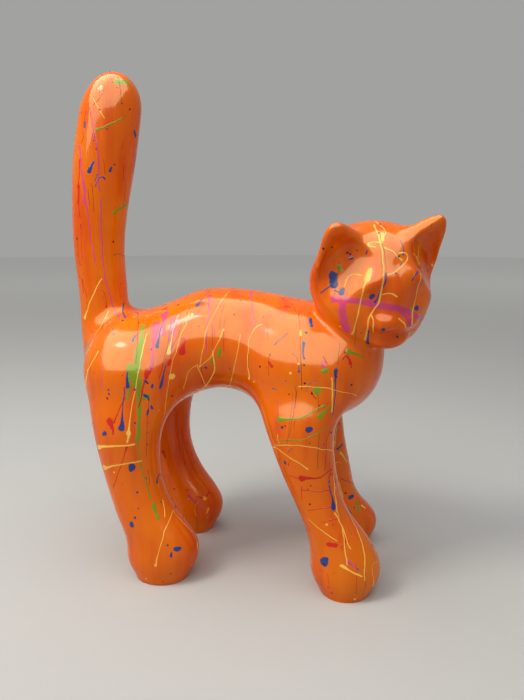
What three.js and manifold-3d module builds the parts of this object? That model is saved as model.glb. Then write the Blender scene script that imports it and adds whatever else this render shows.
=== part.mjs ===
// Garden statue of a standing cat: tail straight up, back arched, head turned to its right.
// One cast solid on four flat soles. Millimetres, +Z up, +X towards the head.
// The origin is on the ground under the middle of the figure's box.

import * as THREE from 'three';
import Module from 'manifold-3d';

// Driving dimensions. Every other length is in thousandths of the height.
const height = 638;
const stance = 110;
const headTurn = 61;
const headDrop = 13;
const headTilt = 4;

// Facets: size on the body, share of it on the head, and how far the fine ones reach.
const facet = 35;
const fineShare = 0.32;
const fineReach = 150;

const unit = height / 1000;

// Sections up a leg or the tail: level, rear edge, front edge, off the midline, half width.
const tailRows = [
  [376, -365, -262, 0, 58],
  [461, -378, -281, 0, 51],
  [552, -381, -283, 0, 50],
  [654, -388, -286, 0, 51],
  [755, -386, -272, 0, 56],
  [834, -379, -255, 0, 60],
  [885, -370, -246, 0, 60],
  [925, -361, -240, 0, 59],
  [1000, -348, -234, 0, 56],
];
const tailCap = [925, 0.762];
const hindLegRows = [
  [-16, -235, -135, stance, 47],
  [34, -254, -114, stance, 56],
  [72, -257, -110, stance, 56],
  [125, -273, -143, stance, 53],
  [183, -290, -174, stance, 50],
  [251, -307, -185, stance, 52],
  [321, -320, -174, stance - 4, 60],
  [400, -334, -150, stance - 26, 74],
];
const rightForeLegRows = [
  [-16, 144, 232, stance, 47],
  [31, 124, 252, stance, 56],
  [69, 119, 252, stance, 56],
  [113, 113, 229, stance, 52],
  [161, 96, 193, stance, 49],
  [235, 63, 168, stance, 50],
  [299, 38, 160, stance - 3, 56],
  [353, 19, 169, stance - 16, 66],
  [423, 9, 194, stance - 41, 72],
];
const leftForeLegRows = [
  [-16, 141, 230, stance, 47],
  [31, 121, 248, stance, 55],
  [66, 117, 244, stance, 55],
  [94, 112, 219, stance, 52],
  [125, 106, 199, stance, 49],
  [161, 96, 190, stance, 48],
  [235, 66, 175, stance, 50],
  [299, 41, 167, stance - 3, 56],
  [353, 19, 169, stance - 16, 66],
  [423, 9, 194, stance - 41, 72],
];
const neckRows = [
  [431, 38, 231, -3, 86],
  [502, 78, 254, -8, 72],
  [580, 138, 288, -14, 64],
];

// Sections along the body: station, belly, back, off the midline, half width.
const bodyRows = [
  [-262, 343, 532, 0, 120],
  [-185, 341, 551, 0, 120],
  [-114, 367, 577, 0, 111],
  [-63, 375, 580, 0, 110],
  [-5, 357, 575, 0, 113],
  [60, 332, 564, 0, 122],
  [138, 335, 555, 0, 116],
];

// The head's own directions are left, up and forward, from this centre.
const headCentre = [219, -31, 589];

// Forms of the head: centre, radii, softness of the join, turn towards the side in degrees.
// Off-centre ones come in pairs.
const headForms = {
  crown: [[0, 64, -3], [96, 59, 74], 25],
  cheeks: [[16, -24, 22], [85, 78, 73], 25],
  jowls: [[36, -58, 20], [50, 50, 54], 25],
  brows: [[50, 44, 58], [52, 20, 34], 22, 24],
  eyeHollows: [[66, 10, 133], [60, 26, 33], 29, 27],
  noseBridge: [[0, 9, 78], [25, 44, 31], 19],
  muzzle: [[9, -34, 81], [45, 26, 31], 19],
  chin: [[0, -72, 74], [41, 21, 29], 15],
};
const skull = [[0, 12, 5], [118, 103, 95]];

// An ear stands on a point of the head and leans to its tip.
const earBase = [83, 53, 22];
const earTip = [111, 141, 58];
const earOutward = [0.85, -0.5, -0.1];

// Sections up the ear: level, back, front, sideways offset, half width.
const earRows = [
  [-47, -53, 19, -9, 50],
  [-13, -44, 22, -8, 53],
  [25, -34, 20, -14, 50],
  [58, -27, 15, -11, 35],
  [100, -20, 6, -4, 20],
];
const earCap = [60, 0.38];

// The ear's hollow has three sides, seen here from the front: its tip, inner and outer corner.
// The sides flare, and the floor comes forward from the back wall to the lower side.
const hollowCorners = [[100, 3], [27, -52], [-44, 52]];
const hollowFlare = 0.2;
const floorForward = 33;
const floorSlope = 1.5;
const backSet = -15;
const backSlope = 0.2;

// Softness of the joins between the larger forms.
const legBlend = 50;
const tailBlend = 30;
const neckBlend = 31;
const headBlend = 11;
const earBlend = 19;
const hollowBlend = 9;
const hollowCornerBlend = 14;

const clamp = THREE.MathUtils.clamp;

function join(a, b, softness) {
  const share = clamp(0.5 + 0.5 * (b - a) / softness, 0, 1);
  return b + (a - b) * share - softness * share * (1 - share);
}

function common(a, b, softness) {
  return -join(-a, -b, softness);
}

// A smooth curve through rows, keyed by their first number, level at both ends.
function curve(rows) {
  const count = rows.length;
  const width = rows[0].length - 1;
  const bends = [];
  for (let k = 1; k <= width; k++) {
    const slope = (i) => (rows[i + 1][k] - rows[i][k]) / (rows[i + 1][0] - rows[i][0]);
    const diagonal = [];
    const target = [];
    const upper = [];
    for (let i = 0; i < count; i++) {
      const before = i > 0 ? rows[i][0] - rows[i - 1][0] : 0;
      const after = i < count - 1 ? rows[i + 1][0] - rows[i][0] : 0;
      const rise = (i < count - 1 ? slope(i) : 0) - (i > 0 ? slope(i - 1) : 0);
      const factor = i > 0 ? before / diagonal[i - 1] : 0;
      diagonal[i] = 2 * (before + after) - (i > 0 ? factor * upper[i - 1] : 0);
      target[i] = 6 * rise - (i > 0 ? factor * target[i - 1] : 0);
      upper[i] = after;
    }
    const bend = new Array(count).fill(0);
    for (let i = count - 1; i >= 0; i--) {
      const next = i < count - 1 ? upper[i] * bend[i + 1] : 0;
      bend[i] = (target[i] - next) / diagonal[i];
    }
    bends.push(bend);
  }
  return (at) => {
    const t = clamp(at, rows[0][0], rows[count - 1][0]);
    let i = 0;
    while (i < count - 2 && t > rows[i + 1][0]) i++;
    const gap = rows[i + 1][0] - rows[i][0];
    const a = (rows[i + 1][0] - t) / gap;
    const b = 1 - a;
    const values = [];
    for (let k = 0; k < width; k++) {
      const pull = (a ** 3 - a) * bends[k][i] + (b ** 3 - b) * bends[k][i + 1];
      values.push(a * rows[i][k + 1] + b * rows[i + 1][k + 1] + pull * gap * gap / 6);
    }
    return values;
  };
}

// A limb: oval sections along one direction with round ends. Gives the distance outside it.
// The upper end starts at the cap's level, and a cap's shape under 1 makes it longer.
function limb(rows, cap = [rows[rows.length - 1][0], 1]) {
  const section = curve(rows);
  const first = rows[0][0];
  const [last, capShape] = cap;
  return (along, across, side) => {
    const [from, to, centre, half] = section(along);
    let beyond = along - clamp(along, first, last);
    if (beyond > 0) beyond *= capShape;
    const radius = (to - from) / 2;
    const offset = (side - centre) * radius / half;
    const reach = Math.hypot(across - (from + to) / 2, offset, beyond);
    return (reach - radius) * Math.min(1, half / radius);
  };
}

const radians = THREE.MathUtils.degToRad;
const vector = (values) => new THREE.Vector3(...values);

// Distance outside an oval that is turned about the head's upright.
function oval(point, centre, radii, turn = 0) {
  const [across, upward, forward] = point.map((value, k) => value - centre[k]);
  const [cos, sin] = [Math.cos(radians(turn)), Math.sin(radians(turn))];
  const offset = [across * cos - forward * sin, upward, across * sin + forward * cos];
  let near = 0;
  let far = 0;
  for (let k = 0; k < 3; k++) {
    const share = offset[k] / radii[k];
    near += share ** 2;
    far += (share / radii[k]) ** 2;
  }
  near = Math.sqrt(near);
  return near * (near - 1) / Math.max(Math.sqrt(far), 1e-6);
}

function headDirections() {
  const turn = radians(headTurn);
  const ahead = new THREE.Vector3(Math.cos(turn), -Math.sin(turn), 0);
  const up = new THREE.Vector3(0, 0, 1);
  const left = new THREE.Vector3().crossVectors(up, ahead);
  ahead.applyAxisAngle(left, radians(headDrop));
  up.applyAxisAngle(left, radians(headDrop));
  left.applyAxisAngle(ahead, radians(headTilt));
  up.applyAxisAngle(ahead, radians(headTilt));
  return [left, up, ahead];
}

function earDirections() {
  const up = vector(earTip).sub(vector(earBase)).normalize();
  const side = vector(earOutward);
  side.addScaledVector(up, -side.dot(up)).normalize();
  const front = new THREE.Vector3().crossVectors(up, side);
  if (front.z < 0) front.negate();
  return [up, side, front];
}

const headAxes = headDirections();
const earAxes = earDirections();
const ear = limb(earRows, earCap);
const body = limb(bodyRows);
const tail = limb(tailRows, tailCap);
const hindLeg = limb(hindLegRows);
const rightForeLeg = limb(rightForeLegRows);
const leftForeLeg = limb(leftForeLegRows);
const neck = limb(neckRows);

function hollowEdges() {
  const middleUp = (hollowCorners[0][0] + hollowCorners[1][0] + hollowCorners[2][0]) / 3;
  const middleSide = (hollowCorners[0][1] + hollowCorners[1][1] + hollowCorners[2][1]) / 3;
  return hollowCorners.map(([up, side], index) => {
    const [nextUp, nextSide] = hollowCorners[(index + 1) % 3];
    const length = Math.hypot(nextUp - up, nextSide - side);
    let normalUp = (nextSide - side) / length;
    let normalSide = (up - nextUp) / length;
    if ((middleUp - up) * normalUp + (middleSide - side) * normalSide > 0) {
      normalUp = -normalUp;
      normalSide = -normalSide;
    }
    return (h, v) => (h - up) * normalUp + (v - side) * normalSide;
  });
}

const [innerEdge, lowerEdge, outerEdge] = hollowEdges();

function earHollow(up, side, front) {
  const flare = hollowFlare * front;
  const low = lowerEdge(up, side);
  const floor = (floorForward + floorSlope * low - front) / Math.hypot(1, floorSlope);
  const back = backSet + backSlope * up - front;
  const walls = [innerEdge(up, side) - flare, outerEdge(up, side) - flare, low, floor, back];
  return walls.reduce((all, wall) => common(all, wall, hollowCornerBlend));
}

function head(x, y, z) {
  const from = new THREE.Vector3(x - headCentre[0], y - headCentre[1], z - headCentre[2]);
  const point = [Math.abs(from.dot(headAxes[0])), from.dot(headAxes[1]), from.dot(headAxes[2])];
  let distance = oval(point, skull[0], skull[1]);
  for (const [name, [centre, radii, softness, turn]] of Object.entries(headForms)) {
    const form = oval(point, centre, radii, turn);
    if (name === 'eyeHollows') distance = common(distance, -form, softness);
    else distance = join(distance, form, softness);
  }
  const onEar = vector(point).sub(vector(earBase));
  const [up, side, front] = earAxes.map((axis) => onEar.dot(axis));
  distance = join(distance, ear(up, front, side), earBlend);
  return common(distance, -earHollow(up, side, front), hollowBlend);
}

// Distance outside the whole figure, in thousandths of its height.
function cat(x, y, z) {
  const side = Math.abs(y);
  let distance = body(x, z, y);
  distance = join(distance, hindLeg(z, x, side), legBlend);
  const foreLeg = y < 0 ? rightForeLeg : leftForeLeg;
  distance = join(distance, foreLeg(z, x, side), legBlend);
  distance = join(distance, tail(z, x, y), tailBlend);
  distance = join(distance, neck(z, x, y), neckBlend);
  return join(distance, head(x, y, z), headBlend);
}

// A lattice point's place: near the head the lattice is drawn together.
function place(lattice) {
  const reach = Math.hypot(...lattice);
  const edge = fineReach / fineShare;
  const scale = reach < edge ? fineShare : (fineReach + reach - edge) / reach;
  return lattice.map((value, axis) => headCentre[axis] + value * scale);
}

const boxLow = [-410, -190, -100];
const boxHigh = [400, 190, 1030];
const spread = fineReach / fineShare - fineReach;
const start = boxLow.map((value, axis) => value - headCentre[axis] - spread);
const counts = boxHigh.map((value, axis) => (
  Math.ceil((value - headCentre[axis] + spread - start[axis]) / facet) + 1));
const strides = [1, counts[0], counts[0] * counts[1]];
const total = counts[0] * counts[1] * counts[2];

const places = [];
const values = new Float64Array(total);
for (let index = 0; index < total; index++) {
  const i = index % counts[0];
  const j = Math.floor(index / strides[1]) % counts[1];
  const k = Math.floor(index / strides[2]);
  const point = place([start[0] + i * facet, start[1] + j * facet, start[2] + k * facet]);
  places.push(point);
  values[index] = cat(...point);
}

// Squares of the lattice whose inside corners meet only diagonally are filled at one corner.
const justInside = -1e-3;
let filled = true;
while (filled) {
  filled = false;
  for (let index = 0; index < total - strides[2] - strides[1]; index++) {
    for (const [a, b] of [[0, 1], [0, 2], [1, 2]]) {
      const corners = [index, index + strides[a], index + strides[a] + strides[b], index + strides[b]];
      const inside = corners.map((corner) => values[corner] < 0);
      if (inside[0] === inside[2] && inside[1] === inside[3] && inside[0] !== inside[1]) {
        const outside = corners.filter((corner) => values[corner] >= 0);
        outside.sort((p, q) => values[p] - values[q]);
        values[outside[0]] = justInside;
        filled = true;
      }
    }
  }
}

// Edges of a lattice cell: axis and which two corners, and the edges round each of its faces.
const cellEdges = [];
for (let axis = 0; axis < 3; axis++) {
  for (let corner = 0; corner < 8; corner++) {
    if ((corner >> axis & 1) === 0) cellEdges.push([corner, corner | 1 << axis]);
  }
}
const cellFaces = [];
for (let axis = 0; axis < 3; axis++) {
  for (const end of [0, 1]) {
    const onFace = ([a, b]) => (a >> axis & 1) === end && (b >> axis & 1) === end;
    cellFaces.push(cellEdges.map((edge, n) => n).filter((n) => onFace(cellEdges[n])));
  }
}
const cornerStep = (corner) => (
  (corner & 1) + (corner >> 1 & 1) * strides[1] + (corner >> 2 & 1) * strides[2]);

const probe = 0.5;
const rounds = 4;
const leastSlope = 0.3;
const settleShare = 0.45;

function gradient(point) {
  return new THREE.Vector3(...[0, 1, 2].map((axis) => {
    const ahead = point.slice();
    const behind = point.slice();
    ahead[axis] += probe;
    behind[axis] -= probe;
    return (cat(...ahead) - cat(...behind)) / (2 * probe);
  }));
}

function settle(point, limit) {
  let moved = 0;
  let at = point;
  for (let round = 0; round < rounds; round++) {
    const distance = cat(...at);
    const slope = gradient(at);
    const step = clamp(distance / Math.max(slope.length(), leastSlope), moved - limit, limit - moved);
    slope.normalize();
    at = [at[0] - slope.x * step, at[1] - slope.y * step, at[2] - slope.z * step];
    moved += Math.abs(step);
    if (moved >= limit) break;
  }
  return at;
}

// One vertex for each patch of surface in a cell, drawn onto the surface.
const vertices = [];
const patchOf = new Map();
for (let index = 0; index < total; index++) {
  const i = index % counts[0];
  const j = Math.floor(index / strides[1]) % counts[1];
  const k = Math.floor(index / strides[2]);
  if (i > counts[0] - 2 || j > counts[1] - 2 || k > counts[2] - 2) continue;
  const crossings = new Map();
  cellEdges.forEach(([a, b], n) => {
    const p = index + cornerStep(a);
    const q = index + cornerStep(b);
    if (values[p] < 0 === values[q] < 0) return;
    const share = values[p] / (values[p] - values[q]);
    crossings.set(n, places[p].map((value, axis) => value + (places[q][axis] - value) * share));
  });
  if (!crossings.size) continue;
  const cellSize = Math.hypot(...[0, 1, 2].map((axis) => places[index][axis] - places[index + 1][axis]));
  const waiting = new Set(crossings.keys());
  while (waiting.size) {
    const patch = [waiting.values().next().value];
    waiting.delete(patch[0]);
    for (const edge of patch) {
      for (const face of cellFaces) {
        if (!face.includes(edge)) continue;
        for (const other of face) {
          if (waiting.delete(other)) patch.push(other);
        }
      }
    }
    const middle = [0, 1, 2].map((axis) => (
      patch.reduce((sum, edge) => sum + crossings.get(edge)[axis], 0) / patch.length));
    for (const edge of patch) patchOf.set(index * 12 + edge, vertices.length);
    vertices.push(settle(middle, cellSize * settleShare));
  }
}

// Two triangles across every lattice edge that passes through the surface.
const triangles = [];
for (let index = 0; index < total; index++) {
  for (let axis = 0; axis < 3; axis++) {
    const next = index + strides[axis];
    if (next >= total || values[index] < 0 === values[next] < 0) continue;
    const b = (axis + 1) % 3;
    const c = (axis + 2) % 3;
    const ring = [[0, 0], [1, 0], [1, 1], [0, 1]].map(([db, dc]) => {
      const cell = index - db * strides[b] - dc * strides[c];
      const corner = db << b | dc << c;
      const edge = cellEdges.findIndex(([p, q]) => p === corner && q === (corner | 1 << axis));
      return patchOf.get(cell * 12 + edge);
    });
    if (ring.includes(undefined)) continue;
    if (values[index] >= 0) ring.reverse();
    const gap = (p, q) => Math.abs(cat(...vertices[p].map((value, n) => (value + vertices[q][n]) / 2)));
    const [p, q, r, s] = gap(ring[0], ring[2]) < gap(ring[1], ring[3]) ? ring : [...ring.slice(1), ring[0]];
    triangles.push(p, q, r, p, r, s);
  }
}

const wasm = await Module();
wasm.setup();

function solid(positions, indices) {
  const mesh = new wasm.Mesh({ numProp: 3, vertProperties: positions, triVerts: indices });
  return new wasm.Manifold(mesh);
}

// Corners a hair from the ground are put on it, so the cut leaves no slivers.
const hair = 3;
const positions = new Float32Array(vertices.flatMap(([x, y, z]) => (
  [x * unit, y * unit, Math.abs(z) < hair ? 0 : z * unit])));
const figure = solid(positions, new Uint32Array(triangles));

const block = new THREE.BoxGeometry(height * 2, height * 2, height);
block.deleteAttribute('normal');
block.deleteAttribute('uv');
block.translate(0, 0, -height / 2);
const blockCorners = [];
const cornerOf = [];
const blockPlaces = block.attributes.position;
for (let n = 0; n < blockPlaces.count; n++) {
  const corner = [blockPlaces.getX(n), blockPlaces.getY(n), blockPlaces.getZ(n)];
  let found = blockCorners.findIndex((other) => other.every((value, axis) => value === corner[axis]));
  if (found < 0) found = blockCorners.push(corner) - 1;
  cornerOf.push(found);
}
const blockIndices = Array.from(block.index.array, (n) => cornerOf[n]);
const ground = solid(new Float32Array(blockCorners.flat()), new Uint32Array(blockIndices));
const standing = figure.subtract(ground).getMesh();

const geometry = new THREE.BufferGeometry();
geometry.setAttribute('position', new THREE.BufferAttribute(new Float32Array(standing.vertProperties), 3));
geometry.setIndex(Array.from(standing.triVerts));
geometry.computeBoundingBox();
const middle = geometry.boundingBox.getCenter(new THREE.Vector3());
geometry.translate(-middle.x, -middle.y, -geometry.boundingBox.min.z);
geometry.computeVertexNormals();

const lacquer = new THREE.MeshStandardMaterial({ color: 0xe0560e, roughness: 0.2, metalness: 0 });
const statue = new THREE.Mesh(geometry, lacquer);
statue.name = 'cat_statue';

const part = new THREE.Group();
part.name = 'garden_cat_statue';
part.add(statue);

export default part;
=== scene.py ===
# Looks of the garden cat statue: an orange lacquered cast figure, splashed with drips of paint.
# Metres, +Z up, +X towards the head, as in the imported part.

import math

import bpy
import numpy as np
from mathutils import Matrix, Vector


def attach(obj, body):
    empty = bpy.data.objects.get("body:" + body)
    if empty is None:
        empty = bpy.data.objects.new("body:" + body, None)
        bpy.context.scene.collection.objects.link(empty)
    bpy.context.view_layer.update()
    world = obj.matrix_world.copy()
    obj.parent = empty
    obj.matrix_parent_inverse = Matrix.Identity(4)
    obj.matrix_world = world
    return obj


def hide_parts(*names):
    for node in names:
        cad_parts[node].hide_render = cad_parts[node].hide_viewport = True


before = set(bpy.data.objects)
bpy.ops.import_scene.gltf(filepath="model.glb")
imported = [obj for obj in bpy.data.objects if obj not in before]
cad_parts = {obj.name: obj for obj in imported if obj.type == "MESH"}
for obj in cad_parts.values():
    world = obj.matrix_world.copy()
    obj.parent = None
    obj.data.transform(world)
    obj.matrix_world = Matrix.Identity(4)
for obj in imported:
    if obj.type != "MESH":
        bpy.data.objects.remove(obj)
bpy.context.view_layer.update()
rng = np.random.default_rng(7)

# The figure's surface: the cast solid's forms again, in thousandths of the height, for a finer mesh.

HEIGHT = 0.638
STANCE = 110
HEAD_TURN = 61
HEAD_DROP = 13
HEAD_TILT = 4
MIDDLE = np.array([0.01133, 0.00006, 0.0])

TAIL = [
    (376, -365, -262, 0, 58), (461, -378, -281, 0, 51), (552, -381, -283, 0, 50),
    (654, -388, -286, 0, 51), (755, -386, -272, 0, 56), (834, -379, -255, 0, 60),
    (885, -370, -246, 0, 60), (925, -361, -240, 0, 59), (1000, -348, -234, 0, 56),
]
TAIL_CAP = (925, 0.762)
HIND_LEG = [
    (-16, -235, -135, STANCE, 47), (34, -254, -114, STANCE, 56), (72, -257, -110, STANCE, 56),
    (125, -273, -143, STANCE, 53), (183, -290, -174, STANCE, 50), (251, -307, -185, STANCE, 52),
    (321, -320, -174, STANCE - 4, 60), (400, -334, -150, STANCE - 26, 74),
]
RIGHT_FORE_LEG = [
    (-16, 144, 232, STANCE, 47), (31, 124, 252, STANCE, 56), (69, 119, 252, STANCE, 56),
    (113, 113, 229, STANCE, 52), (161, 96, 193, STANCE, 49), (235, 63, 168, STANCE, 50),
    (299, 38, 160, STANCE - 3, 56), (353, 19, 169, STANCE - 16, 66), (423, 9, 194, STANCE - 41, 72),
]
LEFT_FORE_LEG = [
    (-16, 141, 230, STANCE, 47), (31, 121, 248, STANCE, 55), (66, 117, 244, STANCE, 55),
    (94, 112, 219, STANCE, 52), (125, 106, 199, STANCE, 49), (161, 96, 190, STANCE, 48),
    (235, 66, 175, STANCE, 50), (299, 41, 167, STANCE - 3, 56), (353, 19, 169, STANCE - 16, 66),
    (423, 9, 194, STANCE - 41, 72),
]
NECK = [(431, 38, 231, -3, 86), (502, 78, 254, -8, 72), (580, 138, 288, -14, 64)]
BODY = [
    (-262, 343, 532, 0, 120), (-185, 341, 551, 0, 120), (-114, 367, 577, 0, 111),
    (-63, 375, 580, 0, 110), (-5, 357, 575, 0, 113), (60, 332, 564, 0, 122), (138, 335, 555, 0, 116),
]
HEAD_CENTRE = np.array([219, -31, 589])
SKULL = ((0, 12, 5), (118, 103, 95))
# The face is a little crisper than the cast solid's, and the line of the mouth is here alone.
HEAD_FORMS = {
    "crown": ((0, 64, -3), (96, 59, 74), 25),
    "cheeks": ((16, -24, 22), (85, 78, 73), 25),
    "jowls": ((36, -58, 20), (50, 50, 54), 25),
    "brows": ((50, 44, 58), (52, 20, 34), 22, 24),
    "eye_hollows": ((63, 9, 130), (59, 26, 34), 20, 27),
    "nose_bridge": ((0, 9, 78), (25, 44, 31), 19),
    "muzzle": ((9, -33, 82), (45, 24, 34), 13),
    "chin": ((0, -72, 75), (41, 21, 30), 12),
    "mouth_hollow": ((0, -51, 115), (33, 4.5, 13), 7),
}
EAR_BASE = np.array([83, 53, 22])
EAR_TIP = np.array([111, 141, 58])
EAR_OUTWARD = np.array([0.85, -0.5, -0.1])
EAR = [
    (-47, -53, 19, -9, 50), (-13, -44, 22, -8, 53), (25, -34, 20, -14, 50),
    (58, -27, 15, -11, 35), (100, -20, 6, -4, 20),
]
EAR_CAP = (60, 0.38)
HOLLOW_CORNERS = np.array([(100, 3), (27, -52), (-44, 52)])
HOLLOW_FLARE = 0.2
FLOOR_FORWARD = 33
FLOOR_SLOPE = 1.5
BACK_SET = -15
BACK_SLOPE = 0.2
LEG_BLEND, TAIL_BLEND, NECK_BLEND, HEAD_BLEND = 50, 30, 31, 11
EAR_BLEND, HOLLOW_BLEND, HOLLOW_CORNER_BLEND = 19, 9, 14


def join(a, b, softness):
    share = np.clip(0.5 + 0.5 * (b - a) / softness, 0, 1)
    return b + (a - b) * share - softness * share * (1 - share)


def common(a, b, softness):
    return -join(-a, -b, softness)


def curve(rows):
    """A smooth curve through rows, keyed by their first number, level at both ends."""
    rows = np.array(rows, float)
    at, values = rows[:, 0], rows[:, 1:]
    gaps = np.diff(at)
    slopes = np.diff(values, axis=0) / gaps[:, None]
    slopes = np.vstack([0 * slopes[:1], slopes, 0 * slopes[:1]])
    before = np.append(0, gaps)
    after = np.append(gaps, 0)
    matrix = np.diag(2 * (before + after)) + np.diag(gaps, 1) + np.diag(gaps, -1)
    bends = np.linalg.solve(matrix, 6 * np.diff(slopes, axis=0))

    def value(t):
        t = np.clip(t, at[0], at[-1])
        i = np.clip(np.searchsorted(at, t, side="right") - 1, 0, len(gaps) - 1)
        gap = gaps[i]
        a = (at[i + 1] - t) / gap
        b = 1 - a
        pull_a, pull_b = (a**3 - a) * gap**2 / 6, (b**3 - b) * gap**2 / 6
        return [
            a * values[i, k] + b * values[i + 1, k] + pull_a * bends[i, k] + pull_b * bends[i + 1, k]
            for k in range(values.shape[1])
        ]

    return value


def limb(rows, cap=None):
    """Distance outside a limb with oval sections and round ends, the upper one longer by its cap."""
    section = curve(rows)
    first = rows[0][0]
    last, cap_shape = cap or (rows[-1][0], 1)

    def distance(along, across, side):
        low, high, centre, half = section(along)
        beyond = along - np.clip(along, first, last)
        beyond = np.where(beyond > 0, beyond * cap_shape, beyond)
        radius = (high - low) / 2
        offset = (side - centre) * radius / half
        reach = np.sqrt((across - (low + high) / 2) ** 2 + offset**2 + beyond**2)
        return (reach - radius) * np.minimum(1, half / radius)

    return distance


def oval(point, centre, radii, turn=0):
    """Distance outside an oval that is turned about the head's upright."""
    cos, sin = math.cos(math.radians(turn)), math.sin(math.radians(turn))
    share = (point - np.array(centre)) @ np.array([[cos, 0, sin], [0, 1, 0], [-sin, 0, cos]]) / radii
    near = np.linalg.norm(share, axis=-1)
    far = np.linalg.norm(share / radii, axis=-1)
    return near * (near - 1) / np.maximum(far, 1e-6)


def unit(v):
    return v / np.linalg.norm(v, axis=-1, keepdims=True)


def head_directions():
    turn = math.radians(HEAD_TURN)
    ahead = Vector((math.cos(turn), -math.sin(turn), 0))
    up = Vector((0, 0, 1))
    left = up.cross(ahead)
    drop = Matrix.Rotation(math.radians(HEAD_DROP), 3, left)
    ahead = drop @ ahead
    tilt = Matrix.Rotation(math.radians(HEAD_TILT), 3, ahead)
    return np.array([tilt @ left, tilt @ drop @ up, ahead])


def ear_directions():
    up = unit(EAR_TIP - EAR_BASE)
    side = unit(EAR_OUTWARD - up * (up @ EAR_OUTWARD))
    front = np.cross(up, side)
    return np.array([up, side, front if front[2] > 0 else -front])


def hollow_edges():
    edges = []
    for corner, after in zip(HOLLOW_CORNERS, np.roll(HOLLOW_CORNERS, -1, axis=0)):
        normal = unit(np.array([after[1] - corner[1], corner[0] - after[0]], float))
        if (HOLLOW_CORNERS.mean(0) - corner) @ normal > 0:
            normal = -normal
        edges.append((corner, normal))
    return edges


HEAD_AXES = head_directions()
EAR_AXES = ear_directions()
EDGES = hollow_edges()
body, neck, tail = limb(BODY), limb(NECK), limb(TAIL, TAIL_CAP)
hind_leg, right_fore_leg, left_fore_leg = limb(HIND_LEG), limb(RIGHT_FORE_LEG), limb(LEFT_FORE_LEG)
ear = limb(EAR, EAR_CAP)


def ear_hollow(up, side, front):
    inner, low, outer = [(up - at[0]) * n[0] + (side - at[1]) * n[1] for at, n in EDGES]
    flare = HOLLOW_FLARE * front
    floor = (FLOOR_FORWARD + FLOOR_SLOPE * low - front) / math.hypot(1, FLOOR_SLOPE)
    distance = inner - flare
    for wall in (outer - flare, low, floor, BACK_SET + BACK_SLOPE * up - front):
        distance = common(distance, wall, HOLLOW_CORNER_BLEND)
    return distance


def head(points):
    point = (points - HEAD_CENTRE) @ HEAD_AXES.T
    point[:, 0] = np.abs(point[:, 0])
    distance = oval(point, *SKULL)
    for name, (centre, radii, softness, *turn) in HEAD_FORMS.items():
        form = oval(point, centre, radii, *turn)
        if "hollow" in name:
            distance = common(distance, -form, softness)
        else:
            distance = join(distance, form, softness)
    up, side, front = ((point - EAR_BASE) @ EAR_AXES.T).T
    distance = join(distance, ear(up, front, side), EAR_BLEND)
    return common(distance, -ear_hollow(up, side, front), HOLLOW_BLEND)


def cat(metres):
    """Distance outside the whole figure, in metres."""
    points = (metres - MIDDLE) * 1000 / HEIGHT
    x, y, z = points.T
    side = np.abs(y)
    distance = body(x, z, y)
    distance = join(distance, hind_leg(z, x, side), LEG_BLEND)
    fore_leg = np.where(y < 0, right_fore_leg(z, x, side), left_fore_leg(z, x, side))
    distance = join(distance, fore_leg, LEG_BLEND)
    distance = join(distance, tail(z, x, y), TAIL_BLEND)
    distance = join(distance, neck(z, x, y), NECK_BLEND)
    return join(distance, head(points), HEAD_BLEND) * HEIGHT / 1000


PROBE = 0.0003
LEAST_SLOPE = 0.1


def slope(points):
    steps = np.eye(3) * PROBE
    return np.stack([(cat(points + s) - cat(points - s)) / (2 * PROBE) for s in steps], axis=-1)


def settle(points, rounds=3, level=False):
    """Draws points onto the surface, without leaving their level if that is asked."""
    for _ in range(rounds):
        away = slope(points)
        if level:
            away[:, 2] = 0
        size = np.maximum((away**2).sum(-1, keepdims=True), LEAST_SLOPE)
        points = points - cat(points)[:, None] * away / size
    return points


# Mesh

ON_GROUND = 1e-5
HALVINGS = 2


def welded(node):
    mesh = node.data
    mesh.calc_loop_triangles()
    points = np.empty(len(mesh.vertices) * 3, np.float32)
    triangles = np.empty(len(mesh.loop_triangles) * 3, np.int32)
    mesh.vertices.foreach_get("co", points)
    mesh.loop_triangles.foreach_get("vertices", triangles)
    points, index = np.unique(points.reshape(-1, 3), axis=0, return_inverse=True)
    return points.astype(float), index.ravel()[triangles].reshape(-1, 3)


def halved(points, triangles):
    """Every triangle becomes four, and the new points settle on the surface or stay on the ground."""
    count = len(points)
    edges = np.sort(triangles[:, [0, 1, 1, 2, 2, 0]].reshape(-1, 2), axis=1)
    keys, index = np.unique(edges[:, 0] * count + edges[:, 1], return_inverse=True)
    middles = (points[keys // count] + points[keys % count]) / 2
    ab, bc, ca = index.reshape(-1, 3).T + count
    a, b, c = triangles.T
    triangles = np.vstack([
        np.stack(corner, axis=1) for corner in ((a, ab, ca), (b, bc, ab), (c, ca, bc), (ab, bc, ca))
    ])
    points = np.vstack([points, middles])
    grounded = points[:, 2] < ON_GROUND
    on_side = np.zeros(len(points), bool)
    on_side[triangles[~grounded[triangles].all(axis=1)]] = True
    rim = grounded & on_side
    points[rim] = settle(points[rim], level=True)
    points[~grounded] = settle(points[~grounded])
    points[grounded, 2] = 0
    points[:, 2] = np.maximum(points[:, 2], 0)
    return points, triangles


points, triangles = welded(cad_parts["cat_statue"])
for _ in range(HALVINGS):
    points, triangles = halved(points, triangles)

mesh = bpy.data.meshes.new("cat")
mesh.from_pydata(points.tolist(), [], triangles.tolist())
mesh.polygons.foreach_set("use_smooth", np.ones(len(triangles), bool))
statue = bpy.data.objects.new("cat", mesh)
bpy.context.scene.collection.objects.link(statue)
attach(statue, "root")
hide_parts("cat_statue")

# Camera

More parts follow.
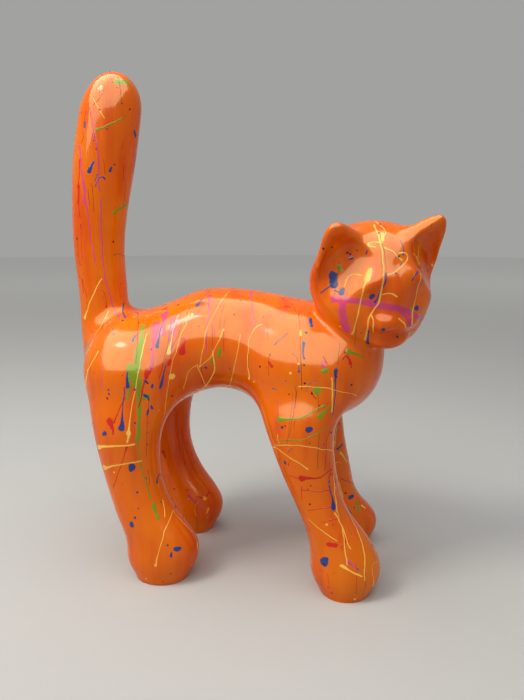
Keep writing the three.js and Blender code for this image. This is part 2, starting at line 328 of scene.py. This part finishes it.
CAMERA_AT = np.array([0.1470, -0.8110, 0.450])
AZIMUTH = math.radians(9.3)
PITCH = math.radians(-11.05)
FOCAL_PIXELS = 640
SENSOR = 36
PHOTO_WIDTH, PHOTO_HEIGHT = 524, 700
ahead = np.array([
    -math.sin(AZIMUTH) * math.cos(PITCH), math.cos(AZIMUTH) * math.cos(PITCH), math.sin(PITCH)])
right = np.array([math.cos(AZIMUTH), math.sin(AZIMUTH), 0])
upward = np.cross(right, ahead)

camera_data = bpy.data.cameras.new("camera")
camera_data.sensor_width = SENSOR
camera_data.lens = SENSOR * FOCAL_PIXELS / PHOTO_HEIGHT
camera = bpy.data.objects.new("camera", camera_data)
camera.matrix_world = Matrix.Translation(Vector(CAMERA_AT)) @ Matrix(
    np.stack([right, upward, -ahead], axis=1).tolist()).to_4x4()
bpy.context.scene.collection.objects.link(camera)
bpy.context.scene.camera = camera

# The splashes of paint on the side that the camera sees, by colour, at rough places in the picture's frame.
# Each has its half width at its start and at its end, in pixels, and then the points it runs through.

SPLASHES = {
    "magenta": [
        (0.86, 0.72, (90, 108), (94, 128), (98, 150), (99, 190)),
        (1.4, 2.6, (80, 146), (82, 170), (86, 203)),
        (2.2, 0.58, (85, 196), (89, 216), (92, 240), (96, 262)),
        (0.72, 2.4, (100, 198), (101, 246), (104, 277), (111, 302), (116, 316), (124, 317)),
        (4.4, 3.6, (157, 324), (155, 338)),
        (2.8, 2.0, (154, 340), (152, 366)),
        (4.0, 3.4, (174, 321), (171, 334)),
        (2.2, 1.6, (171, 336), (170, 354)),
        (3.0, 2.4, (165, 316), (163, 334)),
        (1.6, 0.72, (211, 296), (209, 326), (207, 354)),
        (1.6, 0.58, (251, 293), (254, 328)),
        (0.65, 0.43, (100, 354), (101, 388)),
        (3.2, 3.0, (333, 299), (352, 301), (370, 304), (388, 307), (402, 310), (420, 319)),
        (3.4, 4.2, (343, 304), (342, 318), (346, 330)),
        (2.4, 2.8, (400, 308), (408, 318), (413, 328)),
        (2.4, 0.86, (322, 365), (325, 368)),
        (2.2, 0.72, (190, 496), (196, 502), (203, 509)),
        (2.0, 0.86, (348, 563), (358, 571)),
    ],
    "green": [
        (2.2, 2.0, (143, 327), (141, 342)),
        (4.0, 3.6, (140, 344), (136, 366)),
        (5.2, 4.4, (134, 370), (138, 382)),
        (2.6, 2.2, (138, 386), (139, 410), (138, 440)),
        (1.8, 1.4, (129, 376), (128, 398)),
        (1.6, 0.72, (137, 436), (139, 458), (145, 478), (151, 500)),
        (2.8, 1.4, (154, 506), (159, 520)),
        (2.2, 0.72, (98, 131), (110, 127), (124, 120)),
        (3.2, 2.2, (118, 80), (127, 81)),
        (1.8, 1.4, (113, 213), (127, 205)),
        (2.6, 1.4, (221, 349), (220, 358)),
        (2.2, 0.86, (211, 363), (213, 359)),
        (2.4, 2.0, (144, 398), (147, 397)),
        (3.0, 0.79, (281, 419), (302, 419), (326, 405)),
        (2.8, 0.72, (319, 416), (330, 406)),
        (2.4, 2.0, (324, 373), (326, 371)),
        (2.2, 2.0, (316, 391), (317, 390)),
        (0.86, 0.65, (278, 440), (304, 440), (326, 427)),
        (2.6, 0.72, (346, 351), (362, 357)),
        (2.0, 0.86, (340, 268), (343, 272)),
        (1.4, 0.72, (412, 309), (413, 321)),
        (2.4, 1.4, (357, 503), (359, 512)),
        (0.86, 0.58, (364, 538), (372, 552)),
    ],
    "red": [
        (2.0, 0.72, (78, 186), (79, 218)),
        (0.72, 0.43, (85, 112), (82, 144)),
        (1.6, 0.86, (80, 160), (78, 204)),
        (0.65, 0.36, (80, 226), (81, 262)),
        (1.6, 0.58, (81, 279), (82, 292)),
        (2.4, 0.86, (163, 311), (168, 309)),
        (3.4, 2.2, (180, 351), (182, 341)),
        (2.2, 1.4, (168, 363), (168, 359)),
        (3.2, 0.72, (148, 372), (143, 390), (139, 408)),
        (3.4, 0.58, (112, 422), (115, 436)),
        (0.58, 1.4, (126, 398), (119, 410), (114, 422)),
        (1.4, 0.5, (127, 449), (121, 466), (113, 489)),
        (2.8, 1.6, (270, 363), (273, 368)),
        (0.86, 0.58, (324, 358), (329, 363)),
        (2.0, 0.72, (286, 307), (291, 306)),
        (0.94, 0.58, (310, 392), (314, 400)),
        (3.0, 0.58, (303, 479), (322, 479), (334, 470)),
        (0.43, 0.58, (288, 474), (302, 479)),
        (0.5, 0.5, (302, 488), (316, 491), (331, 489)),
        (0.5, 0.43, (309, 508), (321, 508), (333, 504)),
        (0.43, 0.43, (320, 522), (337, 519)),
        (2.6, 2.0, (329, 546), (336, 547)),
        (0.58, 0.36, (338, 547), (348, 541)),
        (1.8, 0.72, (163, 452), (165, 458)),
        (1.4, 0.86, (209, 493), (203, 500), (196, 496)),
        (1.6, 0.72, (186, 491), (189, 489)),
        (0.58, 0.43, (339, 478), (352, 483)),
        (0.72, 0.5, (200, 366), (201, 386)),
    ],
    "blue": [
        (2.8, 0.72, (91, 169), (93, 160)),
        (1.4, 0.72, (85, 124), (85, 128)),
        (1.8, 0.86, (111, 171), (112, 167)),
        (2.0, 1.6, (134, 131), (135, 136)),
        (1.5, 0.79, (124, 304), (122, 312), (126, 318)),
        (2.2, 0.58, (157, 347), (159, 334), (163, 322)),
        (3.4, 0.43, (160, 391), (163, 378), (166, 364)),
        (1.8, 0.86, (147, 384), (145, 380)),
        (1.4, 0.86, (151, 388), (152, 386)),
        (3.2, 0.58, (122, 426), (124, 400), (126, 386)),
        (2.2, 0.72, (126, 386), (127, 371)),
        (2.1, 1.8, (104, 436), (105, 434)),
        (1.4, 0.79, (111, 396), (111, 394)),
        (1.7, 0.86, (150, 407), (150, 404)),
        (1.7, 0.86, (148, 416), (148, 412)),
        (3.6, 3.0, (132, 468), (133, 466)),
        (1.4, 0.72, (136, 519), (137, 516)),
        (2.4, 1.8, (130, 525), (131, 523)),
        (2.2, 1.8, (176, 549), (179, 548)),
        (1.4, 0.72, (170, 558), (171, 553)),
        (1.5, 0.79, (304, 344), (305, 359)),
        (2.0, 1.4, (310, 319), (311, 326)),
        (2.4, 0.5, (336, 371), (335, 388), (333, 416)),
        (2.5, 2.2, (310, 430), (311, 429)),
        (3.0, 0.58, (333, 506), (331, 495), (328, 484)),
        (1.6, 0.86, (328, 483), (328, 481)),
        (3.0, 2.2, (324, 560), (326, 558)),
        (1.6, 1.4, (284, 462), (285, 461)),
        (1.6, 0.72, (337, 449), (342, 443)),
        (2.2, 1.6, (349, 498), (353, 496)),
        (4.2, 3.4, (333, 276), (334, 284)),
        (1.4, 0.6, (332, 283), (321, 293)),
        (2.8, 1.8, (341, 292), (342, 289)),
        (0.6, 0.4, (335, 290), (341, 291)),
        (2.0, 1.8, (370, 298), (371, 297)),
        (1.8, 1.6, (382, 332), (383, 331)),
        (0.86, 0.65, (365, 254), (366, 252)),
        (0.86, 0.65, (398, 266), (399, 264)),
        (1.6, 0.86, (386, 274), (383, 289), (375, 303)),
        (1.7, 0.72, (367, 343), (368, 330)),
        (1.5, 0.72, (419, 268), (416, 274), (412, 280)),
        (0.94, 0.58, (311, 323), (311, 319)),
        (1.8, 1.4, (326, 560), (327, 559)),
    ],
    "dark": [
        (0.36, 0.29, (109, 80), (102, 95), (92, 107)),
        (0.29, 0.29, (138, 300), (139, 330), (137, 362)),
        (0.29, 0.29, (171, 318), (167, 345), (158, 380)),
        (0.29, 0.29, (183, 316), (178, 334), (163, 362)),
        (0.29, 0.22, (149, 394), (147, 424), (146, 456)),
        (0.36, 0.29, (299, 389), (294, 417), (287, 448)),
        (0.29, 0.29, (300, 310), (301, 340), (302, 388)),
        (0.29, 0.29, (340, 344), (338, 366), (334, 384)),
        (0.36, 0.29, (333, 424), (327, 440), (325, 470)),
        (0.29, 0.29, (320, 432), (318, 450), (317, 468)),
        (0.29, 0.29, (113, 257), (120, 254), (125, 258)),
        (0.36, 0.22, (340, 260), (338, 278), (334, 296)),
        (0.29, 0.22, (357, 328), (355, 345)),
        (0.29, 0.22, (268, 322), (268, 342)),
        (0.94, 0.79, (162, 501), (163, 502)),
        (0.29, 0.22, (148, 468), (150, 484)),
    ],
    "yellow": [
        (0.36, 0.36, (93, 97), (106, 119)),
        (0.5, 2.0, (102, 278), (93, 297), (85, 317)),
        (0.5, 0.65, (109, 313), (97, 334), (86, 356)),
        (0.58, 1.7, (100, 352), (90, 368), (86, 384)),
        (0.43, 1.8, (145, 334), (138, 370), (131, 405), (127, 434)),
        (0.43, 2.4, (178, 314), (172, 335), (168, 354)),
        (0.36, 0.86, (190, 312), (174, 358), (169, 386), (165, 414)),
        (0.43, 0.36, (229, 289), (219, 302), (206, 328), (200, 364)),
        (0.65, 0.43, (223, 328), (216, 346), (209, 358), (199, 365)),
        (0.65, 0.36, (199, 365), (189, 371), (184, 390)),
        (0.72, 1.8, (214, 350), (217, 370), (208, 385), (199, 393)),
        (0.36, 0.43, (199, 365), (203, 376), (207, 385)),
        (0.43, 0.5, (242, 336), (236, 366), (228, 398)),
        (2.3, 2.0, (172, 377), (173, 376)),
        (3.2, 0.86, (99, 446), (116, 446), (136, 444)),
        (2.4, 0.58, (104, 469), (120, 466), (140, 462)),
        (1.6, 0.72, (127, 434), (127, 443)),
        (0.43, 1.5, (173, 510), (164, 533), (155, 566)),
        (0.36, 0.36, (174, 511), (194, 533)),
        (1.8, 0.86, (196, 544), (197, 551)),
        (0.36, 0.36, (297, 386), (328, 388), (357, 396)),
        (0.94, 0.65, (333, 379), (333, 413)),
        (0.43, 0.65, (278, 435), (279, 444)),
        (0.5, 0.79, (270, 442), (288, 455), (308, 467)),
        (0.43, 0.43, (276, 446), (306, 447), (333, 452)),
        (0.72, 0.94, (338, 421), (334, 446), (333, 472), (337, 512)),
        (0.86, 0.58, (337, 512), (346, 531), (351, 548)),
        (0.58, 0.72, (336, 474), (345, 507), (359, 536), (364, 552), (364, 582)),
        (0.5, 0.58, (338, 514), (343, 533), (347, 567)),
        (0.36, 0.36, (308, 518), (322, 530), (338, 541)),
        (2.3, 0.65, (343, 568), (352, 573), (363, 577)),
        (1.7, 0.72, (339, 452), (345, 462)),
        (1.8, 0.86, (363, 505), (366, 508)),
        (2.0, 1.6, (203, 496), (205, 499)),
        (0.72, 0.72, (376, 223), (381, 236), (384, 253), (386, 274), (381, 301), (370, 317), (367, 338)),
        (2.0, 1.4, (381, 234), (382, 241)),
        (0.58, 0.58, (376, 222), (386, 229), (387, 234), (382, 238)),
        (0.65, 0.86, (382, 242), (366, 243), (368, 247), (376, 247)),
        (0.65, 0.94, (384, 248), (394, 251), (400, 260)),
        (0.94, 0.65, (398, 255), (407, 253), (408, 260), (401, 268), (394, 274), (388, 276)),
        (0.72, 0.65, (420, 243), (418, 256), (422, 274), (417, 290), (413, 307), (412, 323)),
        (1.8, 0.86, (417, 256), (420, 264)),
        (0.94, 0.79, (432, 264), (432, 266)),
        (3.4, 2.6, (369, 270), (366, 279)),
        (1.6, 0.6, (365, 280), (361, 296), (356, 318), (352, 336)),
        (0.58, 0.79, (363, 275), (354, 274), (348, 276), (346, 285)),
        (0.58, 0.65, (384, 293), (391, 291), (397, 296)),
        (0.65, 0.72, (371, 317), (374, 323), (373, 334)),
        (0.58, 0.65, (398, 318), (404, 320), (405, 328)),
    ],
}

# Splashes

PIXEL = 0.00115
STEP = 0.003
DOWN = np.array([0, 0, -1])

# The search along a line of sight: nearest and farthest places, and how much of the way each round goes.
SIGHT_START, SIGHT_END = 0.45, 1.3
SIGHT_SHARE, SIGHT_ROUNDS = 0.9, 60

# A splash in the picture's frame, in pixels: how far it is shifted and bent, and the gap between its
# points. Then how many rounds smooth its line, and how many smooth what is random in it.
SHIFT, BEND, POINT_GAP = 0.8, 0.6, 2.2
LINE_ROUNDS, NOISE_ROUNDS = 4, 2
# A longer step than this, in metres, is a jump from one limb to another behind it.
JUMP = 0.02

# How soon a drop thins, how uneven a string is, and the bead at its end, as shares of their widths.
DROP_LENGTH, UNEVEN, BEAD = 2.5, 0.25, 1.3

# Splashes that wander: where they stop, how they turn, how thin they get, and how many start as drops.
OVERHANG, LOWEST = -0.35, 0.002
WOBBLE = 0.22
THINNEST, THIN_SHARES = 0.0003, (0.2, 0.5)
SHORTEST = 0.002
DROPS_FIRST = 0.4

# A layer keeps a splash out to so many spacings of the mesh, and the next splash stays clear of more.
KEPT, CLEAR = 1.15, 2.5
SEARCH = 0.015
TURNED_AWAY = -0.1
FAR_OFF = 1000
TINY = 1e-12


def seen_at(pixels):
    """The places on the surface that the camera sees at places in the picture's frame."""
    pixels = np.asarray(pixels)
    rays = unit(ahead * FOCAL_PIXELS + (pixels[:, :1] - PHOTO_WIDTH / 2) * right
                + (PHOTO_HEIGHT / 2 - pixels[:, 1:]) * upward)
    reach = np.full(len(rays), SIGHT_START)
    for _ in range(SIGHT_ROUNDS):
        reach = reach + SIGHT_SHARE * cat(CAMERA_AT + rays * reach[:, None])
        reach = np.minimum(reach, SIGHT_END)
    return settle(CAMERA_AT + rays * reach[:, None])


def eased(values, rounds):
    """Smooths values that follow each other, and keeps the two ends."""
    for _ in range(rounds):
        values[1:-1] = (values[:-2] + 2 * values[1:-1] + values[2:]) / 4
    return values


def half_widths(length, start, end):
    """Half widths along a drop that thins quickly into a string, with a bead where the paint stopped."""
    fat, thin = max(start, end), min(start, end)
    along = np.linspace(0, length, max(2, int(length / STEP) + 1))
    widths = thin + (fat - thin) * np.exp(-along / (DROP_LENGTH * fat))
    widths = widths * (1 + UNEVEN * eased(rng.normal(size=len(widths)), NOISE_ROUNDS))
    widths[-1] = thin * BEAD
    return widths if start >= end else widths[::-1]


def thrown(lines):
    """Splashes through places in the picture's frame, each shifted and bent a little at random."""
    bent = []
    for _, _, *places in lines:
        places = np.array(places, float) + rng.normal(0, SHIFT, 2)
        lengths = np.append(0, np.cumsum(np.linalg.norm(np.diff(places, axis=0), axis=1)))
        at = np.linspace(0, lengths[-1], max(3, int(lengths[-1] / POINT_GAP)))
        line = np.stack([np.interp(at, lengths, places[:, k]) for k in range(2)], axis=1)
        bent.append(eased(line, LINE_ROUNDS) + eased(rng.normal(0, BEND, line.shape), NOISE_ROUNDS))
    ends = np.cumsum([len(line) for line in bent])[:-1]
    found = []
    for (start, end, *_), path in zip(lines, np.split(seen_at(np.concatenate(bent)), ends)):
        sizes = np.append(0, np.linalg.norm(np.diff(path, axis=0), axis=1))
        whole = sizes < JUMP
        path, along = path[whole], np.cumsum(sizes[whole])
        widths = half_widths(along[-1], start * PIXEL, end * PIXEL)
        found.append((path, np.interp(along, np.linspace(0, along[-1], len(widths)), widths)))
    return found


def runs(count, places, length, widths, fall):
    """Splashes that start at random places and wander over the surface, falling more or less."""
    start = points[rng.choice(len(points), count, p=places / places.sum())]
    heading = rng.normal(size=(count, 3))
    lengths = rng.uniform(*length, count)
    fat = rng.uniform(*widths, count) ** 2 / widths[1]
    path, faces_down = [start], []
    for _ in range(int(length[1] / STEP)):
        out = unit(slope(path[-1]))
        faces_down.append(out[:, 2] < OVERHANG)
        heading = unit(heading) + fall * DOWN + rng.normal(0, WOBBLE, heading.shape)
        heading = unit(heading - out * (heading * out).sum(-1, keepdims=True))
        path.append(settle(path[-1] + heading * STEP, 1))
    path = np.stack(path, axis=1)
    stops = np.stack(faces_down, axis=1) | (path[:, :-1, 2] < LOWEST)
    found = []
    for one, stop, reach, width in zip(path, stops, lengths, fat):
        end = min(int(reach / STEP) + 2, np.argmax(stop) + 1 if stop.any() else len(one))
        one = one[:max(2, end)]
        thin = max(THINNEST, width * rng.uniform(*THIN_SHARES))
        sizes = np.append(0, np.cumsum(np.linalg.norm(np.diff(one, axis=0), axis=1)))
        order = (width, thin) if rng.random() < DROPS_FIRST else (thin, width)
        profile = half_widths(sizes[-1], *order)
        found.append((one, np.interp(sizes, np.linspace(0, sizes[-1], len(profile)), profile)))
    return found


edges = np.sort(triangles[:, [0, 1, 1, 2, 2, 0]].reshape(-1, 2), axis=1)
edge_sizes = np.linalg.norm(points[edges[:, 0]] - points[edges[:, 1]], axis=1)
spacing = np.zeros(len(points))
for end in edges.T:
    np.maximum.at(spacing, end, edge_sizes)
outward = unit(slope(points))
outward[points[:, 2] < ON_GROUND] = DOWN


def paint_layers(splashes):
    """How far each point of the mesh is from a splash near it, in half widths, and which way.

    Splashes that lie close to each other go into different layers, so that none cuts into another.
    """
    layers = []
    ends = np.cumsum([len(path) for path, _ in splashes])[:-1]
    normals = np.split(unit(slope(np.concatenate([path for path, _ in splashes]))), ends)
    for (path, widths), out in zip(splashes, normals):
        reach = widths.max() + SEARCH
        inside = np.flatnonzero(
            ((points > path.min(0) - reach) & (points < path.max(0) + reach)).all(axis=1))
        starts, along = path[:-1], np.diff(path, axis=0)
        gaps = points[inside, None] - starts
        share = (gaps * along).sum(-1) / np.maximum((along**2).sum(-1), TINY)
        share = np.clip(share, 0, 1)[..., None]
        gaps = gaps - share * along
        width = widths[:-1, None] + share * np.diff(widths)[:, None]
        far = np.linalg.norm(gaps, axis=-1)
        best = np.argmin(far - width[..., 0], axis=1)
        row = np.arange(len(inside))
        gap, far, width, share = gaps[row, best], far[row, best], width[row, best], share[row, best]
        normal = unit(out[best] * (1 - share) + out[best + 1] * share)
        flat = gap - normal * (gap * normal).sum(-1, keepdims=True)
        flat = unit(flat + TINY) * far[:, None] / width
        faces_it = (normal * outward[inside]).sum(-1) > TURNED_AWAY
        near = faces_it & (far < width[:, 0] + KEPT * spacing[inside])
        margin = faces_it & (far < width[:, 0] + CLEAR * spacing[inside])
        for layer, taken in layers:
            if not taken[inside[near]].any():
                break
        else:
            layer, taken = outward * FAR_OFF, np.zeros(len(points), bool)
            layers.append((layer, taken))
        layer[inside[near]] = flat[near]
        taken[inside[margin]] = True
    return [layer for layer, _ in layers]


faces_camera = ((CAMERA_AT - points) * outward).sum(-1) > 0

# Random splashes are as likely at each equal area, but not underneath.
UNDERNEATH = -0.3
open_places = spacing**2 * (outward[:, 2] > UNDERNEATH)

# By colour: how many behind and before, their lengths, their half widths, and how steeply they fall.
RUNS = {
    "magenta": (16, 3, (0.03, 0.14), (0.0015, 0.004), 1.2),
    "green": (22, 4, (0.005, 0.12), (0.001, 0.004), 0.6),
    "red": (36, 22, (0.003, 0.07), (0.0006, 0.004), 0.6),
    "blue": (44, 26, (0.002, 0.05), (0.0008, 0.004), 0.6),
    "dark": (60, 60, (0.02, 0.12), (0.0003, 0.0005), 2.5),
    "yellow": (44, 8, (0.01, 0.16), (0.0006, 0.003), 0.45),
}
layer_names = {}
for colour, (behind, before, length, widths, fall) in RUNS.items():
    splashes = thrown(SPLASHES[colour])
    splashes += runs(behind, open_places * ~faces_camera, length, widths, fall)
    small = widths[0], sum(widths) / 2
    splashes += runs(before, open_places * faces_camera, (SHORTEST, length[1] / 2), small, fall)
    layer_names[colour] = []
    for number, layer in enumerate(paint_layers(splashes)):
        name = f"{colour}_{number}"
        mesh.attributes.new(name, "FLOAT_VECTOR", "POINT").data.foreach_set("vector", layer.ravel())
        layer_names[colour].append(name)

# Lacquer


def nodes_of(name):
    material = bpy.data.materials.new(name)
    material.use_nodes = True
    tree = material.node_tree
    tree.nodes.clear()
    return material, tree


def node(kind, inputs=(), **settings):
    """A node of the tree in hand, with its settings, and its inputs by name or number."""
    made = tree.nodes.new("ShaderNode" + kind)
    for name, value in settings.items():
        setattr(made, name, value)
    for name, value in dict(inputs).items():
        if isinstance(value, bpy.types.NodeSocket):
            tree.links.new(value, made.inputs[name])
        else:
            made.inputs[name].default_value = value
    return made.outputs


def ramp(value, low, high, start=0, end=1, smooth=True):
    kind = "SMOOTHSTEP" if smooth else "LINEAR"
    return node("MapRange", {0: value, 1: low, 2: high, 3: start, 4: end}, interpolation_type=kind)[0]


def maths(kind, a, b=0.0, c=0.0):
    return node("Math", {0: a, 1: b, 2: c}, operation=kind)[0]


def mixed(share, a, b):
    return node("Mix", {0: share, 6: a, 7: b}, data_type="RGBA")[2]


def noise(where, scale, detail=2, rough=0.5):
    return node("TexNoise", {"Vector": where, "Scale": scale, "Detail": detail, "Roughness": rough})[0]


# By colour, the lowest paint first: the tint, how much it covers, and how soft its edge is.
PAINTS = {
    "magenta": ((0.62, 0.045, 0.21, 1), 0.8, 0.45),
    "green": ((0.15, 0.30, 0.012, 1), 0.9, 0.25),
    "red": ((0.60, 0.012, 0.010, 1), 0.95, 0.12),
    "blue": ((0.008, 0.045, 0.21, 1), 0.97, 0.12),
    "dark": ((0.09, 0.012, 0.02, 1), 0.8, 0.3),
    "yellow": ((0.93, 0.56, 0.085, 1), 0.97, 0.12),
}

# Three oranges of the lacquer, the scales of its noises, and how much the paint's edges waver.
ORANGES = (0.78, 0.138, 0.001, 1), (0.70, 0.084, 0.001, 1), (0.80, 0.195, 0.001, 1)
BRUSH_MARKS, BLOTCHES, SWELLS, RIPPLES, SHEEN_PATCHES, FLECKS = 38, 9, 45, 420, 55, 110
WAVER, THICKNESS = 0.18, 0.5
BUMP_HEIGHT = 0.0005
FLECK_TINTS = {
    0: (0.008, 0.03, 0.14, 1), 0.35: (0.35, 0.012, 0.012, 1),
    0.6: (0.05, 0.01, 0.02, 1), 0.85: (0.93, 0.56, 0.085, 1),
}

material, tree = nodes_of("splashed_lacquer")
here = node("TexCoord")["Object"]
streaked = node("Mapping", {0: here, 3: (1, 1, 0.13)})[0]
brushed = noise(streaked, BRUSH_MARKS, 3, 0.55)
broad = noise(here, BLOTCHES, 2)
colour = mixed(ramp(brushed, 0.42, 0.68), ORANGES[0], ORANGES[1])
colour = mixed(ramp(broad, 0.5, 0.75, 0, 0.7), colour, ORANGES[2])
ripple = noise(here, RIPPLES, 2)
height = maths("MULTIPLY_ADD", noise(here, SWELLS, 2), 0.35, maths("MULTIPLY", ripple, 0.02))
for name, (tint, cover, softness) in PAINTS.items():
    nearest = None
    for attribute in layer_names[name]:
        offset = node("Attribute", attribute_name=attribute)["Vector"]
        away = node("VectorMath", {0: offset}, operation="LENGTH")[1]
        nearest = away if nearest is None else maths("MINIMUM", nearest, away)
    nearest = maths("ADD", nearest, ramp(ripple, 0.2, 0.8, -WAVER, WAVER, False))
    mask = ramp(nearest, 1 - softness, 1 + softness, cover, 0)
    shade = node("HueSaturation", {1: 1, 2: ramp(broad, 0.3, 0.7, 0.88, 1.1), 4: tint})[0]
    colour = mixed(mask, colour, shade)
    height = maths("MULTIPLY_ADD", ramp(nearest, 1.1, 0.3), THICKNESS, height)

cells = node("TexVoronoi", {"Vector": here, "Scale": FLECKS}, feature="F1")
kind, size, _ = node("SeparateColor", {0: cells["Color"]})
speck = maths("LESS_THAN", cells["Distance"], ramp(size, 0.62, 1, 0.0, 0.2, False))
flecks = node("ValToRGB", {0: kind})
colour = mixed(speck, colour, flecks["Color"])
steps = flecks["Color"].node.color_ramp
steps.interpolation = "CONSTANT"
steps.elements.remove(steps.elements[1])
for at, tint in FLECK_TINTS.items():
    step = steps.elements.new(at) if at else steps.elements[0]
    step.color = tint

bump = node("Bump", {"Strength": 0.6, "Distance": BUMP_HEIGHT, "Height": height})[0]
gloss = ramp(noise(here, SHEEN_PATCHES, 3), 0.3, 0.75, 0.16, 0.3, False)
shader = node("BsdfPrincipled", {
    "Base Color": colour, "Roughness": gloss, "Normal": bump, "Specular IOR Level": 0.06,
    "Coat Weight": 0.36, "Coat Roughness": 0.1, "Coat Normal": bump,
})
node("OutputMaterial", {0: shader[0]})
statue.data.materials.append(material)

# Floor and light

# The floor gets paler with distance, so that its far edge meets the background in the same tone.
FLOOR_RADIUS = 9
PALER_FROM, PALER_TO = 0.9, 5
NEAR_TONE, FAR_TONE = (0.48, 0.48, 0.47, 1), (0.9, 0.9, 0.89, 1)
SKY_TONE, SKY_STRENGTH = (0.86, 0.86, 0.84, 1), 0.42
LIT_MIDDLE = Vector((0, 0, 0.32))

bpy.ops.mesh.primitive_circle_add(vertices=96, radius=FLOOR_RADIUS, fill_type="NGON")
floor = bpy.context.object
floor.name = "floor"
paint, tree = nodes_of("pale_floor")
away = node("VectorMath", {0: node("TexCoord")["Object"]}, operation="LENGTH")[1]
pale = mixed(ramp(away, PALER_FROM, PALER_TO), NEAR_TONE, FAR_TONE)
matt = node("BsdfPrincipled", {"Base Color": pale, "Roughness": 1, "Specular IOR Level": 0})
node("OutputMaterial", {0: matt[0]})
floor.data.materials.append(paint)

world = bpy.data.worlds.new("studio")
world.use_nodes = True
background = world.node_tree.nodes["Background"]
background.inputs["Color"].default_value = SKY_TONE
background.inputs["Strength"].default_value = SKY_STRENGTH
bpy.context.scene.world = world


def soft_light(name, azimuth, elevation, away, size, radiance, shows, colour=(1, 1, 1)):
    """A flat light that faces the statue and isn't seen itself. It shows as shade or as gloss."""
    lamp = bpy.data.lights.new(name, "AREA")
    lamp.shape = "RECTANGLE"
    lamp.size, lamp.size_y = size
    lamp.energy = radiance * math.pi * size[0] * size[1]
    lamp.color = colour
    light = bpy.data.objects.new(name, lamp)
    azimuth, elevation = math.radians(azimuth), math.radians(elevation)
    level = math.cos(elevation)
    towards = Vector((level * math.cos(azimuth), level * math.sin(azimuth), math.sin(elevation)))
    light.location = LIT_MIDDLE + towards * away
    light.rotation_euler = towards.to_track_quat("Z", "Y").to_euler()
    light.visible_camera = False
    light.visible_diffuse = shows != "gloss"
    light.visible_glossy = shows != "shade"
    bpy.context.scene.collection.objects.link(light)


soft_light("overhead", -120, 72, 1.5, (2.6, 2.2), 1.6, "shade")
soft_light("panel", -97, 62.5, 3, (8.3, 7.0), 9.0, "gloss", (0.85, 1, 0.64))
soft_light("key", -143, 50, 2.4, (0.75, 0.75), 18, "shade", (1, 0.95, 0.85))
soft_light("glint", -143, 54, 2.4, (0.5, 0.35), 24, "gloss", (1, 0.97, 0.9))

bpy.context.scene.view_settings.view_transform = "Standard"
